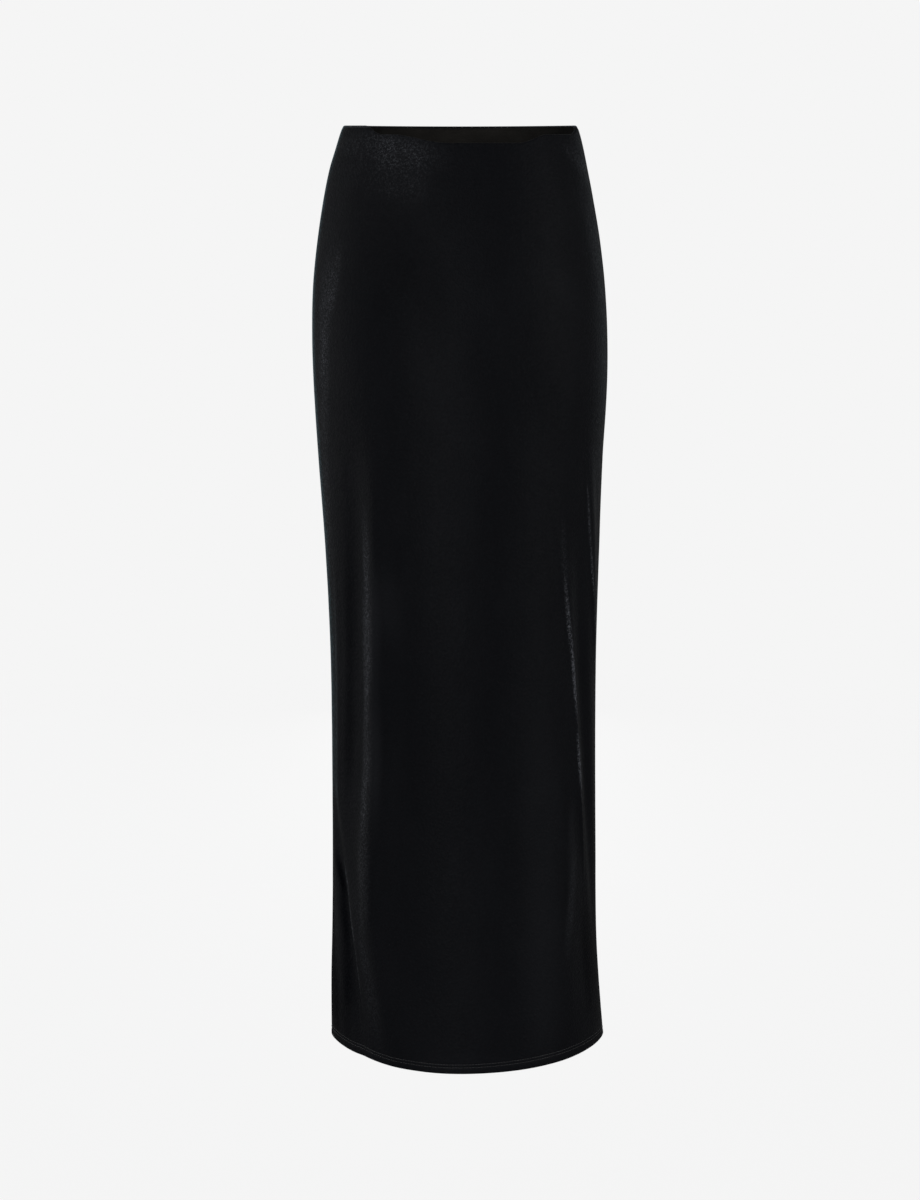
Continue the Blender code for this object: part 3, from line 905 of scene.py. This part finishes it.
def elastic_material():
    """Woven elastic: brownish black, its yarns running across the ribs."""
    material, tree, shader, place = start_material("elastic")
    yarn = noise_node(tree, place, 1500, (1, 1, 0.5), detail=2.0)
    cloud = noise_node(tree, place, 40, (1, 1, 2.0), detail=2.0)
    bump = node(tree, "Bump", {"Height": yarn, "Strength": 0.4, "Distance": 0.0003})
    tree.links.new(bump.outputs[0], shader.inputs["Normal"])
    share = join(tree, "ADD", join(tree, "MULTIPLY", yarn, 0.5), join(tree, "MULTIPLY", cloud, 0.5))
    # Painted shade: it is darker towards the side seams, where the inside of the waist lies in shade, and
    # most on the wearer's left.
    across = node(tree, "SeparateXYZ", {0: place}).outputs[0]
    painted_shade_left = fit(tree, across, 0.045, 0.105, 0.0, 0.70)
    painted_shade_right = fit(tree, across, -0.110, -0.050, 0.48, 0.0)
    share = fit(tree, share, 0.35, 0.65, 0.45, 1.0)
    share = join(tree, "SUBTRACT", share, join(tree, "ADD", painted_shade_left, painted_shade_right))
    share = join(tree, "MAXIMUM", share, 0.0)
    colour = shade_between(tree, share, *ELASTIC_COLOURS)
    tree.links.new(colour, shader.inputs["Base Color"])
    tree.links.new(fit(tree, yarn, 0.3, 0.7, 0.72, 0.86), shader.inputs["Roughness"])
    set_inputs(shader, Specular_IOR_Level=0.10)
    return material


def thread_material():
    """Dark grey polyester sewing thread with a fine uneven ply."""
    material, tree, shader, place = start_material("thread")
    ply = noise_node(tree, place, 2600, (1, 1, 0.6), detail=1.0)
    bump = node(tree, "Bump", {"Height": ply, "Strength": 0.5, "Distance": 0.0001})
    tree.links.new(bump.outputs[0], shader.inputs["Normal"])
    colour = shade_between(tree, fit(tree, ply, 0.35, 0.65, 0.0, 1.0), *THREAD_COLOURS)
    tree.links.new(colour, shader.inputs["Base Color"])
    tree.links.new(fit(tree, ply, 0.3, 0.7, 0.40, 0.55), shader.inputs["Roughness"])
    set_inputs(shader, Specular_IOR_Level=0.4)
    return material


# ---------------------------------------------------------------- stage, light and camera

# What the camera sees behind the skirt, and the dim room that the skirt itself is in.
BACKDROP = (0.913, 0.913, 0.913, 1.0)
ROOM = (0.13, 0.13, 0.13, 1.0)
FLOOR_DROP = 1.20
FLOOR_RADIUS = 4.0
# The glow evens the floor out to the backdrop's tone.
FLOOR_GLOW = 0.895
# The floor fades into the backdrop between these distances from the skirt.
FLOOR_FADE = (1.1, 3.0)

CAMERA_DISTANCE = 2.8486
CAMERA_TILT = 10.08
CAMERA_LENS = 80.08
CAMERA_SENSOR = 36.0

# One row for each soft light: the turn and the angle up at which it stands, seen from the middle of
# the skirt, its distance, width, height, power and colour.
SoftLight = namedtuple("SoftLight", "name turn up distance width height power colour")
LIGHTS = [
    SoftLight("front", -12, 4, 2.6, 1.0, 2.2, 12.0, (1.0, 1.0, 1.0)),
    SoftLight("front_left", 62, 12, 2.6, 1.0, 2.2, 12.5, (1.0, 1.0, 1.0)),
    SoftLight("high_right", -50, 40, 2.8, 1.2, 1.2, 9.5, (1.0, 1.0, 1.0)),
    SoftLight("right_side", -94, 7, 2.6, 0.7, 2.4, 7.5, (1.0, 0.99, 0.99)),
    SoftLight("right_back", -125, 9, 2.6, 0.5, 2.0, 1.6, (0.92, 0.97, 1.0)),
    SoftLight("right_rim", -160, 7, 2.6, 0.4, 2.4, 2.2, (0.45, 0.85, 1.0)),
    SoftLight("left_side", 98, 16, 2.6, 0.6, 1.6, 1.4, (1.0, 1.0, 1.0)),
    SoftLight("left_rim", 138, 12, 2.6, 0.4, 1.4, 1.0, (0.80, 0.92, 1.0)),
    SoftLight("back", 180, 0, 2.6, 0.6, 1.2, 14, (1.0, 1.0, 1.0)),
]
# The place that the soft lights aim at.
LIGHT_AIM = (0.0, 0.0, -0.55)


def floor_disc():
    """A plain pale floor that fades into the backdrop."""
    rings, sides = 40, 96
    radii = FLOOR_RADIUS * np.linspace(0.0, 1.0, rings + 1)[1:]
    angles = np.linspace(0, 2 * pi, sides, endpoint=False)
    x = (radii[None, :] * np.cos(angles)[:, None]).ravel()
    y = (radii[None, :] * np.sin(angles)[:, None]).ravel()
    points = np.stack([x, y, np.full_like(x, -FLOOR_DROP)], axis=-1)
    faces = grid_faces(sides, rings, True, False) + [list(range(0, sides * rings, rings))]
    mesh = bpy.data.meshes.new("floor")
    mesh.from_pydata(points.tolist(), [], faces)
    floor = bpy.data.objects.new("floor", mesh)
    bpy.context.scene.collection.objects.link(floor)
    material, tree, shader, place = start_material("floor")
    set_inputs(shader, Base_Color=(0.02, 0.02, 0.02, 1.0), Roughness=0.9, Specular_IOR_Level=0.1)
    set_inputs(shader, Emission_Color=(1.0, 1.0, 1.0, 1.0), Emission_Strength=FLOOR_GLOW)
    flat = node(tree, "VectorMath", {0: place, 1: (1, 1, 0)}, operation="MULTIPLY").outputs[0]
    distance = node(tree, "VectorMath", {0: flat}, operation="LENGTH").outputs["Value"]
    clear = node(tree, "BsdfTransparent")
    share = fit(tree, distance, FLOOR_FADE[0], FLOOR_FADE[1], 0.0, 1.0)
    mixed = node(tree, "MixShader", {0: share, 1: shader.outputs[0], 2: clear.outputs[0]})
    tree.links.new(mixed.outputs[0], tree.nodes["Material Output"].inputs["Surface"])
    mesh.materials.append(material)
    # Its glow is for the view alone, and throws no light up at the skirt.
    floor.visible_diffuse = False
    floor.visible_glossy = False


def soft_light(row):
    data = bpy.data.lights.new(row.name, "AREA")
    data.shape = "RECTANGLE"
    data.size, data.size_y = row.width, row.height
    data.energy = row.power
    data.color = row.colour
    light = bpy.data.objects.new(row.name, data)
    turn, up = radians(row.turn), radians(row.up)
    away = Vector((sin(turn) * cos(up), -cos(turn) * cos(up), sin(up)))
    light.location = Vector(LIGHT_AIM) + away * row.distance
    light.rotation_euler = away.to_track_quat("Z", "Y").to_euler()
    light.visible_camera = False
    bpy.context.scene.collection.objects.link(light)


def studio():
    scene = bpy.context.scene
    data = bpy.data.cameras.new("camera")
    data.lens, data.sensor_width = CAMERA_LENS, CAMERA_SENSOR
    camera = bpy.data.objects.new("camera", data)
    camera.location = (0.0, -CAMERA_DISTANCE, 0.0)
    camera.rotation_euler = (radians(90 - CAMERA_TILT), 0.0, 0.0)
    scene.collection.objects.link(camera)
    scene.camera = camera

    world = bpy.data.worlds.new("studio")
    world.use_nodes = True
    tree = world.node_tree
    seen = node(tree, "LightPath").outputs["Is Camera Ray"]
    colour = node(tree, "Mix", {0: seen, 6: ROOM, 7: BACKDROP}, data_type="RGBA").outputs[2]
    tree.links.new(colour, tree.nodes["Background"].inputs["Color"])
    scene.world = world
    scene.view_settings.view_transform = "Standard"
    for row in LIGHTS:
        soft_light(row)
    floor_disc()


# ---------------------------------------------------------------- the skirt

def skirt():
    velvet, velvet_back = velvet_material(), velvet_back_material()
    elastic, thread = elastic_material(), thread_material()
    front = velvet_panel("front_velvet", -SEAM_TURN, SEAM_TURN, -1, velvet, velvet_back)
    back = velvet_panel("back_velvet", SEAM_TURN, 360 - SEAM_TURN, 1, velvet, velvet_back)
    band = elastic_band(elastic)
    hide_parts("front_panel")
    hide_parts("back_panel")
    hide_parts("waist_elastic")
    front_hem = hem_stitching("hem_stitching_front", -SEAM_TURN, SEAM_TURN, thread)
    back_hem = hem_stitching("hem_stitching_back", SEAM_TURN, 360 - SEAM_TURN, thread)
    left = seam_allowance("seam_allowance_left", 1, velvet_back, thread)
    right = seam_allowance("seam_allowance_right", -1, velvet_back, thread)
    tacks = [elastic_tack("elastic_tack_left", 1, thread), elastic_tack("elastic_tack_right", -1, thread)]


studio()
skirt()
